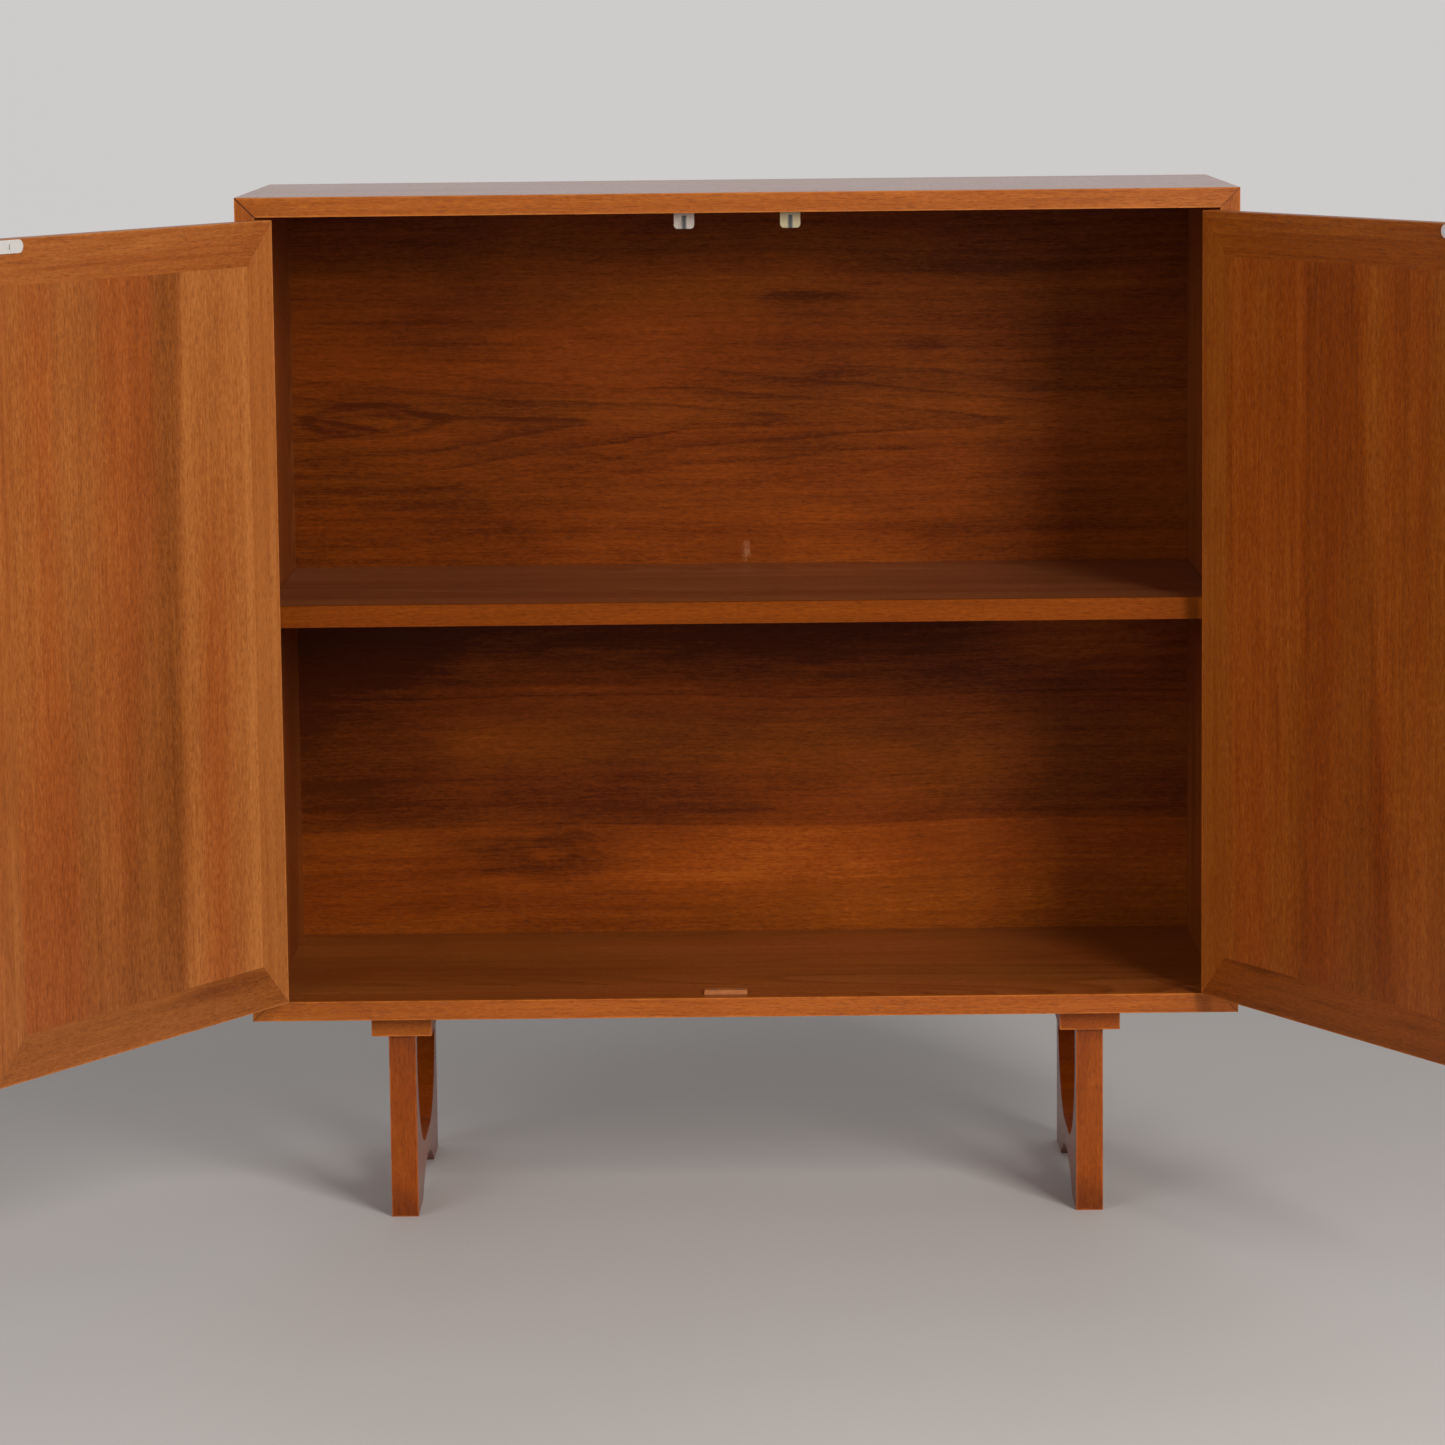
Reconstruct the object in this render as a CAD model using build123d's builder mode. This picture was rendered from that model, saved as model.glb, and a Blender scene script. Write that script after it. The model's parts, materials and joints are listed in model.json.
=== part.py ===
from build123d import *
import os
from math import cos, radians, sin

# A teak cabinet on two board legs, with one shelf and a pair of inset doors on butt hinges.
# Millimetres. The front faces -Y, +Z is up and the floor is at Z = 0.

# ---------------------------------------------------------------- driving dimensions
# carcass
WIDTH = 915.0
CARCASS_HEIGHT = 762.0
DEPTH = 363.0
BOARD = 18.0                    # thickness of the four carcass boards
LIPPING = 6.0                   # solid wood strip on each front edge
SPLINE_LENGTH = 12.0            # loose tongue across each mitre
SPLINE_THICKNESS = 4.0
SPLINE_INSET = 25.0             # distance of a tongue's ends from the front and the back

# back panel, let into a rebate
BACK_PANEL = 5.0
REBATE = 8.0

# shelf
SHELF_TOP = 581.5
SHELF_THICKNESS = 20.0
SHELF_SETBACK = 20.0
SHELF_END_GAP = 0.5
SHELF_BACK_GAP = 1.0
STUD_RADIUS = 3.0
STUD_IN_SIDE = 10.0
STUD_UNDER_SHELF = 11.0
STUD_INSET = 50.0               # from the shelf's front and back edges

# legs
LEG_HEIGHT = 196.0              # floor to the underside of the carcass
LEG_THICKNESS = 25.0
LEG_CENTRE_X = 322.0
LEG_SETBACK = 40.0              # leg front behind the carcass front
LEG_DEPTH = 310.0
LEG_HORN = 20.0                 # depth of each upright at its top
SCOOP_BOTTOM = 48.0             # height of the scoop's lowest line
SCOOP_CORNER_Y = 105.0          # half axes of the scoop's elliptical corners
SCOOP_CORNER_Z = 102.0
FOOT_LENGTH = 65.0
ARCH_RISE = 26.0
CLEAT_WIDTH = 56.0
CLEAT_THICKNESS = 22.0
CLEAT_OVERHANG = 6.0            # cleat in front of and behind the leg
DOWEL_RADIUS = 4.0
DOWEL_LENGTH = 32.0

# doors
DOOR_THICKNESS = 16.0
DOOR_GAP = 2.0                  # round each door, and between the two
DOOR_FRAME = 40.0               # width of the mitred border
PIN_OFFSET = 3.0                # hinge axis in front of the door's face
LEFT_OPEN = 119.5               # how far each door stands open, from closed
RIGHT_OPEN = 118.0
KNOB_FROM_EDGE = 20.0
KNOB_RADIUS = 14.0
KNOB_PROJECTION = 22.0
KNOB_FOOT_RADIUS = 8.4
KNOB_NECK_RADIUS = 7.0
KNOB_NECK_HEIGHT = 7.7          # narrowest place, above the door's face
KNOB_WIDEST_HEIGHT = 16.5
KNOB_FLARE = 0.4                # sideways over outwards, where the neck begins to widen
KNOB_TENON_RADIUS = 5.0
KNOB_TENON_LENGTH = 11.0

# butt hinges
HINGE_LENGTH = 50.0
HINGE_FROM_END = 90.0           # hinge centre from the door's top and bottom
LEAF_THICKNESS = 1.5
LEAF_WIDTH = 14.0
KNUCKLE_RADIUS = 2.7
MIDDLE_KNUCKLE = 18.0
KNUCKLE_GAP = 0.3
PIN_RADIUS = 1.5
RUNNING_CLEARANCE = 0.05

# magnetic catches and their strike plates
CATCH_X = 48.5
CATCH_WIDTH = 18.5
CATCH_HEIGHT = 15.0
CATCH_BLOCK = 24.0              # depth of the full-height block
CATCH_FLANGE = 14.0             # depth of the thin flange behind it
CATCH_FLANGE_HEIGHT = 4.0
CATCH_CORNER = 3.5
CATCH_GAP = 0.4                 # between a closed strike and the catch
SLOT_HEIGHT = 12.0
SLOT_DEPTH = 20.0
MAGNET_WIDTH = 2.4
MAGNET_SETBACK = 1.0
POLE_THICKNESS = 1.2
STRIKE_LENGTH = 38.0
STRIKE_HEIGHT = 11.5
STRIKE_PLATE = 1.0
STRIKE_GROOVE_WIDTH = 1.6
STRIKE_GROOVE_DEPTH = 0.5
STRIKE_BELOW_DOOR_TOP = 6.5

# door stop on the cabinet floor
STOP_WIDTH = 40.0
STOP_DEPTH = 12.0
STOP_HEIGHT = 4.0
STOP_CENTRE_X = -18.0
STOP_CLEARANCE = 0.5
STOP_CHAMFER = 1.0

# screws
SCREW_SLOT_WIDTH = 0.28         # of the head's radius
SCREW_SLOT_DEPTH = 0.6          # of the head's depth

# ---------------------------------------------------------------- worked-out places
HALF_WIDTH = WIDTH / 2
INNER_HALF_WIDTH = HALF_WIDTH - BOARD
CARCASS_BOTTOM = LEG_HEIGHT
CARCASS_TOP = LEG_HEIGHT + CARCASS_HEIGHT
FLOOR_Z = CARCASS_BOTTOM + BOARD
CEILING_Z = CARCASS_TOP - BOARD
MIDDLE_Z = (CARCASS_BOTTOM + CARCASS_TOP) / 2
INNER_HEIGHT = CEILING_Z - FLOOR_Z

PIVOT_X = INNER_HALF_WIDTH - DOOR_GAP / 2
DOOR_START = DOOR_GAP / 2                       # hinge edge, measured from the pin
DOOR_END = PIVOT_X - DOOR_GAP / 2               # meeting edge, measured from the pin
DOOR_BOTTOM = FLOOR_Z + DOOR_GAP
DOOR_TOP = CEILING_Z - DOOR_GAP
DOOR_FRONT = PIN_OFFSET                         # outer face, measured inwards from the pin
DOOR_INNER = PIN_OFFSET + DOOR_THICKNESS

# The origin is in the middle of the floor space that the cabinet takes with its doors open.
DOOR_REACH = PIN_OFFSET + DOOR_END * sin(radians(RIGHT_OPEN)) - DOOR_INNER * cos(radians(RIGHT_OPEN))
FRONT_Y = (DOOR_REACH - DEPTH) / 2
BACK_Y = FRONT_Y + DEPTH
PIVOT_Y = FRONT_Y - PIN_OFFSET
PANEL_Y = BACK_Y - BACK_PANEL
LEG_FRONT_Y = FRONT_Y + LEG_SETBACK
LEG_BACK_Y = LEG_FRONT_Y + LEG_DEPTH
LEG_TOP_Z = LEG_HEIGHT - CLEAT_THICKNESS
HINGE_HEIGHTS = (DOOR_BOTTOM + HINGE_FROM_END, DOOR_TOP - HINGE_FROM_END)
STRIKE_Z = DOOR_TOP - STRIKE_BELOW_DOOR_TOP
STRIKE_FROM_PIN = PIVOT_X - CATCH_X
CATCH_FRONT_Y = FRONT_Y + DOOR_THICKNESS + STRIKE_PLATE + CATCH_GAP

LEFT, RIGHT = -1, 1
SIDES = {"left": LEFT, "right": RIGHT}
OPEN_ANGLE = {"left": LEFT_OPEN, "right": RIGHT_OPEN}


# ---------------------------------------------------------------- planes and helpers
def front_plane(y):
    """A plane across the cabinet at depth y: X to the right, Z up, facing the front."""
    return Plane.XZ.offset(-y)


def side_plane(x):
    """A plane along the cabinet at x: its X runs to the back and its Y up."""
    return Plane.YZ.offset(x)


def door_plane(name):
    """Floor plane of a door: origin on the pin, X along the door, Y towards its inner face."""
    side = SIDES[name]
    angle = radians(OPEN_ANGLE[name])
    return Plane(
        origin=(side * PIVOT_X, PIVOT_Y, 0),
        x_dir=(cos(angle), side * sin(angle), 0),
        z_dir=(0, 0, 1),
    )


def door_face(name, depth):
    """An upright plane in a door, depth behind the pin: X along the door, Y up, facing out."""
    floor = door_plane(name)
    return Plane(
        origin=floor.from_local_coords((0, depth, 0)),
        x_dir=floor.x_dir,
        z_dir=-floor.y_dir,
    )


def door_point(name, along, depth, height):
    """A point in a door, measured along it from the pin, inwards from the pin, and up."""
    return door_plane(name).from_local_coords((-SIDES[name] * along, depth, height))


def slotted_screw(head_plane, radius, head_radius, length):
    """A countersunk screw whose flat head lies on head_plane, with its shank behind the plane."""
    head_depth = head_radius - radius
    slot_length = 3 * head_radius               # past both rims of the head
    with BuildPart() as screw:
        with BuildSketch(head_plane):
            Circle(head_radius)
        extrude(amount=-head_depth, taper=45)
        with BuildSketch(head_plane):
            Circle(radius)
        extrude(amount=-length)
        with BuildSketch(head_plane):
            Rectangle(slot_length, head_radius * SCREW_SLOT_WIDTH)
        extrude(amount=-head_depth * SCREW_SLOT_DEPTH, mode=Mode.SUBTRACT)
    return screw.part


def screw_hole(head_plane, radius, head_radius, length):
    """The countersunk hole that slotted_screw fills."""
    with BuildPart() as hole:
        with BuildSketch(head_plane):
            Circle(head_radius)
        extrude(amount=-(head_radius - radius), taper=45)
        with BuildSketch(head_plane):
            Circle(radius)
        extrude(amount=-length)
    return hole.part


def write(piece, name):
    """Label a finished piece and write it as its own file."""
    piece.part.label = name
    export_step(piece.part, f"parts/{name}.step")


os.makedirs("parts", exist_ok=True)


# ---------------------------------------------------------------- carcass boards
def top_outline(flip):
    """Mitred end shape of the top board, or of the bottom one when flip is -1."""
    outer = CARCASS_HEIGHT / 2
    inner = outer - BOARD
    with BuildSketch() as outline:
        with BuildLine():
            Polyline(
                (-HALF_WIDTH, flip * outer),
                (HALF_WIDTH, flip * outer),
                (INNER_HALF_WIDTH, flip * inner),
                (-INNER_HALF_WIDTH, flip * inner),
                close=True,
            )
        make_face()
    return outline.sketch


def side_outline(side):
    """Mitred end shape of a side board."""
    outer = CARCASS_HEIGHT / 2
    inner = outer - BOARD
    with BuildSketch() as outline:
        with BuildLine():
            Polyline(
                (side * HALF_WIDTH, -outer),
                (side * HALF_WIDTH, outer),
                (side * INNER_HALF_WIDTH, inner),
                (side * INNER_HALF_WIDTH, -inner),
                close=True,
            )
        make_face()
    return outline.sketch


def corner_tongues():
    """The four loose tongues that key the mitres."""
    middle_x = HALF_WIDTH - BOARD / 2
    middle_z = CARCASS_HEIGHT / 2 - BOARD / 2
    start = FRONT_Y + SPLINE_INSET
    with BuildPart() as tongues:
        with BuildSketch(front_plane(start).shift_origin((0, start, MIDDLE_Z))):
            for side in (LEFT, RIGHT):
                for level in (-1, 1):
                    with Locations((side * middle_x, level * middle_z)):
                        Rectangle(SPLINE_LENGTH, SPLINE_THICKNESS, rotation=-45 * side * level)
        extrude(amount=-(DEPTH - 2 * SPLINE_INSET))
    return tongues


def back_rebate():
    """The space that the back panel takes out of the four boards."""
    with BuildPart() as rebate:
        with BuildSketch(front_plane(BACK_Y).shift_origin((0, BACK_Y, MIDDLE_Z))):
            Rectangle(2 * (INNER_HALF_WIDTH + REBATE), INNER_HEIGHT + 2 * REBATE)
        extrude(amount=BACK_PANEL)
    return rebate


def carcass_board(outline, cuts):
    """One carcass board behind its lipping, with everything in cuts taken out of it."""
    with BuildPart() as board:
        with BuildSketch(front_plane(BACK_Y).shift_origin((0, BACK_Y, MIDDLE_Z))):
            add(outline)
        extrude(amount=DEPTH - LIPPING)
        for cut in cuts:
            add(cut, mode=Mode.SUBTRACT)
    return board


def front_lipping(outline, cuts):
    """The solid strip on a board's front edge."""
    start = FRONT_Y + LIPPING
    with BuildPart() as strip:
        with BuildSketch(front_plane(start).shift_origin((0, start, MIDDLE_Z))):
            add(outline)
        extrude(amount=LIPPING)
        for cut in cuts:
            add(cut, mode=Mode.SUBTRACT)
    return strip


# ---------------------------------------------------------------- screw places
HINGE_SCREW = (1.5, 3.0, 13.0)              # radius, head radius, length
CATCH_SCREW = (1.4, 2.8, 12.0)
STRIKE_SCREW = (1.3, 2.5, 11.0)
STOP_SCREW = (1.2, 2.4, 12.0)
LEG_SCREW = (2.2, 4.4, 34.0)
PANEL_SCREW = (1.4, 2.8, 14.0)

HINGE_SCREW_SPREAD = 17.0
HINGE_SCREW_INSET = 10.0                    # from the carcass front, and from the door's face
CATCH_SCREW_SPREAD = 5.5                    # from the catch's middle
STOP_SCREW_SPREAD = 12.0
LEG_SCREW_X = 20.5                          # from the leg's middle
LEG_SCREW_INSET = 60.0                      # from the cleat's ends
PANEL_SCREW_COLUMNS = 5
PANEL_SCREW_ROWS = 4
PANEL_SCREW_CORNER = 40.0                   # first screw from each corner of the panel


def hinge_side_screw_planes(name):
    """Head planes of the screws in the carcass leaves, flush with the side's inner face."""
    side = SIDES[name]
    planes = []
    for middle in HINGE_HEIGHTS:
        for step in (-1, 0, 1):
            height = middle + step * HINGE_SCREW_SPREAD
            place = (side * INNER_HALF_WIDTH, FRONT_Y + HINGE_SCREW_INSET, height)
            planes.append(Plane(origin=place, x_dir=(0, 0, 1), z_dir=(-side, 0, 0)))
    return planes


def hinge_door_screw_planes(name):
    """Head planes of the screws in the door leaves, flush with the door's hinge edge."""
    side = SIDES[name]
    outwards = door_plane(name).x_dir * side
    planes = []
    for middle in HINGE_HEIGHTS:
        for step in (-1, 0, 1):
            height = middle + step * HINGE_SCREW_SPREAD
            place = door_point(name, DOOR_START, DOOR_FRONT + HINGE_SCREW_INSET, height)
            planes.append(Plane(origin=place, x_dir=(0, 0, 1), z_dir=outwards))
    return planes


def catch_screw_planes(side):
    """Head planes of one catch's screws, on the underside of its flange."""
    middle_y = CATCH_FRONT_Y + CATCH_BLOCK + CATCH_FLANGE / 2
    head_z = CEILING_Z - CATCH_FLANGE_HEIGHT
    return [
        Plane(origin=(side * CATCH_X + step * CATCH_SCREW_SPREAD, middle_y, head_z), z_dir=(0, 0, -1))
        for step in (-1, 1)
    ]


def strike_screw_plane(name):
    """Head plane of the screw through a strike plate, in the plate's groove."""
    depth = DOOR_INNER + STRIKE_PLATE - STRIKE_GROOVE_DEPTH
    place = door_point(name, STRIKE_FROM_PIN, depth, STRIKE_Z)
    return Plane(origin=place, x_dir=(0, 0, 1), z_dir=door_plane(name).y_dir)


def stop_screw_planes():
    """Head planes of the door stop's screws, on its top."""
    middle_y = FRONT_Y + DOOR_THICKNESS + STOP_CLEARANCE + STOP_DEPTH / 2
    return [
        Plane(origin=(STOP_CENTRE_X + step * STOP_SCREW_SPREAD, middle_y, FLOOR_Z + STOP_HEIGHT))
        for step in (-1, 1)
    ]


def leg_screw_planes(side):
    """Head planes of the four screws through a cleat, on its underside."""
    ends = (LEG_FRONT_Y - CLEAT_OVERHANG, LEG_BACK_Y + CLEAT_OVERHANG)
    return [
        Plane(origin=(side * LEG_CENTRE_X + step * LEG_SCREW_X, y, LEG_TOP_Z), z_dir=(0, 0, -1))
        for step in (-1, 1)
        for y in (ends[0] + LEG_SCREW_INSET, ends[1] - LEG_SCREW_INSET)
    ]


def panel_screw_planes():
    """Head planes of the screws round the back panel's edge."""
    half_x = INNER_HALF_WIDTH + REBATE / 2
    half_z = INNER_HEIGHT / 2 + REBATE / 2
    places = []
    for column in range(PANEL_SCREW_COLUMNS):
        x = (half_x - PANEL_SCREW_CORNER) * (2 * column / (PANEL_SCREW_COLUMNS - 1) - 1)
        places += [(x, -half_z), (x, half_z)]
    for row in range(PANEL_SCREW_ROWS):
        z = (half_z - PANEL_SCREW_CORNER) * (2 * row / (PANEL_SCREW_ROWS - 1) - 1)
        places += [(-half_x, z), (half_x, z)]
    return [
        Plane(origin=(x, BACK_Y, MIDDLE_Z + z), x_dir=(1, 0, 0), z_dir=(0, 1, 0)) for x, z in places
    ]


def holes(planes, size):
    """Countersunk holes for a set of screws of one size."""
    return [screw_hole(plane, *size) for plane in planes]


def screws(planes, size):
    """A set of like screws, as one group of separate solids."""
    made = [slotted_screw(plane, *size) for plane in planes]
    with BuildPart() as group:
        for screw in made:
            add(screw)
    return group


# ---------------------------------------------------------------- carcass
def leaf_recess(side):
    """Shallow recesses for the carcass leaves in a side's inner face."""
    middle_x = side * (INNER_HALF_WIDTH + LEAF_THICKNESS / 2)
    with BuildPart() as recess:
        for middle in HINGE_HEIGHTS:
            with BuildSketch(Plane.XY.offset(middle - HINGE_LENGTH / 2)):
                with Locations((middle_x, FRONT_Y + LEAF_WIDTH / 2)):
                    Rectangle(LEAF_THICKNESS, LEAF_WIDTH)
            extrude(amount=HINGE_LENGTH)
    return recess.part


def stud_shape(side, radius, start, length):
    """Round rods under the shelf's ends, running inwards from start on the side's inner face."""
    shelf_front = FRONT_Y + SHELF_SETBACK
    shelf_back = PANEL_Y - SHELF_BACK_GAP
    height = SHELF_TOP - SHELF_THICKNESS - STUD_RADIUS
    with BuildPart() as rods:
        for y in (shelf_front + STUD_INSET, shelf_back - STUD_INSET):
            middle = Plane(origin=(side * start, y, height), x_dir=(0, 1, 0), z_dir=(-side, 0, 0))
            with BuildSketch(middle):
                Circle(radius)
            extrude(amount=length)
    return rods.part


tongues = corner_tongues()
rebate = back_rebate()
panel_holes = holes(panel_screw_planes(), PANEL_SCREW)
carcass_cuts = [tongues.part, rebate.part] + panel_holes

catch_holes = holes(catch_screw_planes(LEFT) + catch_screw_planes(RIGHT), CATCH_SCREW)
top_panel = carcass_board(top_outline(1), carcass_cuts + catch_holes)
write(top_panel, "top_panel")

stop_holes = holes(stop_screw_planes(), STOP_SCREW)
leg_holes = holes(leg_screw_planes(LEFT) + leg_screw_planes(RIGHT), LEG_SCREW)
bottom_panel = carcass_board(top_outline(-1), carcass_cuts + stop_holes + leg_holes)
write(bottom_panel, "bottom_panel")

write(front_lipping(top_outline(1), []), "top_lipping")
write(front_lipping(top_outline(-1), []), "bottom_lipping")

for name, side in SIDES.items():
    hinge_holes = holes(hinge_side_screw_planes(name), HINGE_SCREW)
    stud_holes = stud_shape(side, STUD_RADIUS, INNER_HALF_WIDTH + STUD_IN_SIDE, STUD_IN_SIDE)
    side_cuts = [leaf_recess(side)] + hinge_holes
    side_panel = carcass_board(side_outline(side), carcass_cuts + side_cuts + [stud_holes])
    write(side_panel, f"{name}_side")
    write(front_lipping(side_outline(side), side_cuts), f"{name}_side_lipping")

write(tongues, "corner_tongues")

with BuildPart() as back_panel:
    with BuildSketch(front_plane(BACK_Y).shift_origin((0, BACK_Y, MIDDLE_Z))):
        Rectangle(2 * (INNER_HALF_WIDTH + REBATE), INNER_HEIGHT + 2 * REBATE)
    extrude(amount=BACK_PANEL)
    for hole in panel_holes:
        add(hole, mode=Mode.SUBTRACT)
write(back_panel, "back_panel")
write(screws(panel_screw_planes(), PANEL_SCREW), "back_panel_screws")

# ---------------------------------------------------------------- shelf
SHELF_HALF_WIDTH = INNER_HALF_WIDTH - SHELF_END_GAP
SHELF_FRONT_Y = FRONT_Y + SHELF_SETBACK
SHELF_BACK_Y = PANEL_Y - SHELF_BACK_GAP

with BuildPart() as shelf:
    with BuildSketch(Plane.XY.offset(SHELF_TOP - SHELF_THICKNESS)):
        with Locations((0, (SHELF_FRONT_Y + LIPPING + SHELF_BACK_Y) / 2)):
            Rectangle(2 * SHELF_HALF_WIDTH, SHELF_BACK_Y - SHELF_FRONT_Y - LIPPING)
    extrude(amount=SHELF_THICKNESS)
write(shelf, "shelf")

with BuildPart() as shelf_lipping:
    with BuildSketch(Plane.XY.offset(SHELF_TOP - SHELF_THICKNESS)):
        with Locations((0, SHELF_FRONT_Y + LIPPING / 2)):
            Rectangle(2 * SHELF_HALF_WIDTH, LIPPING)
    extrude(amount=SHELF_THICKNESS)
write(shelf_lipping, "shelf_lipping")

stud_length = STUD_IN_SIDE + STUD_UNDER_SHELF
studs = [
    stud_shape(side, STUD_RADIUS, INNER_HALF_WIDTH + STUD_IN_SIDE, stud_length) for side in (LEFT, RIGHT)
]
with BuildPart() as shelf_studs:
    for pair in studs:
        add(pair)
write(shelf_studs, "shelf_studs")

# ---------------------------------------------------------------- door stop
with BuildPart() as door_stop:
    with BuildSketch(Plane.XY.offset(FLOOR_Z)):
        with Locations((STOP_CENTRE_X, FRONT_Y + DOOR_THICKNESS + STOP_CLEARANCE + STOP_DEPTH / 2)):
            Rectangle(STOP_WIDTH, STOP_DEPTH)
    extrude(amount=STOP_HEIGHT)
    chamfer(door_stop.edges().group_by(Axis.Z)[-1], length=STOP_CHAMFER)
    for hole in stop_holes:
        add(hole, mode=Mode.SUBTRACT)
write(door_stop, "door_stop")
write(screws(stop_screw_planes(), STOP_SCREW), "door_stop_screws")


# ---------------------------------------------------------------- legs
def dowel_rods(side):
    """The dowels that join a leg's uprights to its cleat."""
    with BuildPart() as rods:
        with BuildSketch(Plane.XY.offset(LEG_TOP_Z - DOWEL_LENGTH / 2)):
            with Locations(
                (side * LEG_CENTRE_X, LEG_FRONT_Y + LEG_HORN / 2),
                (side * LEG_CENTRE_X, LEG_BACK_Y - LEG_HORN / 2),
            ):
                Circle(DOWEL_RADIUS)
        extrude(amount=DOWEL_LENGTH)
    return rods.part


def leg_board(side, dowels):
    """A board on edge, scooped out above and arched below, standing on two feet."""
    scoop_front = LEG_FRONT_Y + LEG_HORN
    scoop_back = LEG_BACK_Y - LEG_HORN
    corner_z = SCOOP_BOTTOM + SCOOP_CORNER_Z
    arch_middle = (LEG_FRONT_Y + LEG_BACK_Y) / 2
    with BuildPart() as leg:
        with BuildSketch(side_plane(side * LEG_CENTRE_X - LEG_THICKNESS / 2)):
            with BuildLine():
                Polyline(
                    (LEG_FRONT_Y + FOOT_LENGTH, 0),
                    (LEG_FRONT_Y, 0),
                    (LEG_FRONT_Y, LEG_TOP_Z),
                    (scoop_front, LEG_TOP_Z),
                    (scoop_front, corner_z),
                )
                EllipticalCenterArc(
                    (scoop_front + SCOOP_CORNER_Y, corner_z),
                    SCOOP_CORNER_Y,
                    SCOOP_CORNER_Z,
                    start_angle=180,
                    arc_size=90,
                )
                Line(
                    (scoop_front + SCOOP_CORNER_Y, SCOOP_BOTTOM),
                    (scoop_back - SCOOP_CORNER_Y, SCOOP_BOTTOM),
                )
                EllipticalCenterArc(
                    (scoop_back - SCOOP_CORNER_Y, corner_z),
                    SCOOP_CORNER_Y,
                    SCOOP_CORNER_Z,
                    start_angle=270,
                    arc_size=90,
                )
                Polyline(
                    (scoop_back, corner_z),
                    (scoop_back, LEG_TOP_Z),
                    (LEG_BACK_Y, LEG_TOP_Z),
                    (LEG_BACK_Y, 0),
                    (LEG_BACK_Y - FOOT_LENGTH, 0),
                )
                ThreePointArc(
                    (LEG_BACK_Y - FOOT_LENGTH, 0),
                    (arch_middle, ARCH_RISE),
                    (LEG_FRONT_Y + FOOT_LENGTH, 0),
                )
            make_face()
        extrude(amount=LEG_THICKNESS)
        add(dowels, mode=Mode.SUBTRACT)
    return leg


def cleat_board(side, dowels):
    """The flat board between a leg and the carcass."""
    with BuildPart() as cleat:
        with BuildSketch(Plane.XY.offset(LEG_TOP_Z)):
            with Locations((side * LEG_CENTRE_X, (LEG_FRONT_Y + LEG_BACK_Y) / 2)):
                Rectangle(CLEAT_WIDTH, LEG_DEPTH + 2 * CLEAT_OVERHANG)
        extrude(amount=CLEAT_THICKNESS)
        add(dowels, mode=Mode.SUBTRACT)
        for hole in holes(leg_screw_planes(side), LEG_SCREW):
            add(hole, mode=Mode.SUBTRACT)
    return cleat


dowel_pairs = {name: dowel_rods(side) for name, side in SIDES.items()}
for name, side in SIDES.items():
    write(leg_board(side, dowel_pairs[name]), f"{name}_leg")
    write(cleat_board(side, dowel_pairs[name]), f"{name}_leg_cleat")

with BuildPart() as leg_dowels:
    for pair in dowel_pairs.values():
        add(pair)
write(leg_dowels, "leg_dowels")
write(screws(leg_screw_planes(LEFT) + leg_screw_planes(RIGHT), LEG_SCREW), "leg_screws")


# ---------------------------------------------------------------- doors
def door_leaf_recess(name):
    """Shallow recesses for the door leaves in the door's hinge edge."""
    side = SIDES[name]
    with BuildPart() as recess:
        for middle in HINGE_HEIGHTS:
            with BuildSketch(door_plane(name).offset(middle - HINGE_LENGTH / 2)):
                with Locations(
                    (-side * (DOOR_START + LEAF_THICKNESS / 2), DOOR_FRONT + LEAF_WIDTH / 2)
                ):
                    Rectangle(LEAF_THICKNESS, LEAF_WIDTH)
            extrude(amount=HINGE_LENGTH)
    return recess.part


def door_member(name, corners, cuts):
    """One flat piece of a door: corners are (distance from the pin, height) round its face."""
    side = SIDES[name]
    with BuildPart() as member:
        with BuildSketch(door_face(name, DOOR_INNER)):
            with BuildLine():
                Polyline(*[(-side * along, height) for along, height in corners], close=True)
            make_face()
        extrude(amount=DOOR_THICKNESS)
        for cut in cuts:
            add(cut, mode=Mode.SUBTRACT)
    return member


def knob_foot(name):
    """Middle of a knob's foot, on the door's outer face."""
    return door_point(name, DOOR_END - KNOB_FROM_EDGE, DOOR_FRONT, MIDDLE_Z)


def knob_tenon(name):
    """The round tenon that holds a knob in its door."""
    with BuildPart() as tenon:
        with BuildSketch(Plane(origin=knob_foot(name), x_dir=(0, 0, 1), z_dir=door_plane(name).y_dir)):
            Circle(KNOB_TENON_RADIUS)
        extrude(amount=KNOB_TENON_LENGTH)
    return tenon.part


def knob(name):
    """A turned knob on the door's outer face, with its tenon."""
    floor = door_plane(name)
    foot = knob_foot(name)
    section = Plane(origin=foot, x_dir=(0, 0, 1), z_dir=floor.x_dir)
    outwards = 1 if section.y_dir.dot(floor.y_dir) < 0 else -1
    neck = (KNOB_NECK_RADIUS, outwards * KNOB_NECK_HEIGHT)
    with BuildPart() as turned:
        with BuildSketch(section):
            with BuildLine():
                Polyline((0, 0), (KNOB_FOOT_RADIUS, 0), neck)
                Spline(
                    neck,
                    (KNOB_RADIUS, outwards * KNOB_WIDEST_HEIGHT),
                    (0, outwards * KNOB_PROJECTION),
                    tangents=((KNOB_FLARE, outwards), (-1, 0)),
                )
                Line((0, outwards * KNOB_PROJECTION), (0, 0))
            make_face()
        revolve(axis=Axis(foot, section.y_dir))
        add(knob_tenon(name))
    return turned


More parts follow.
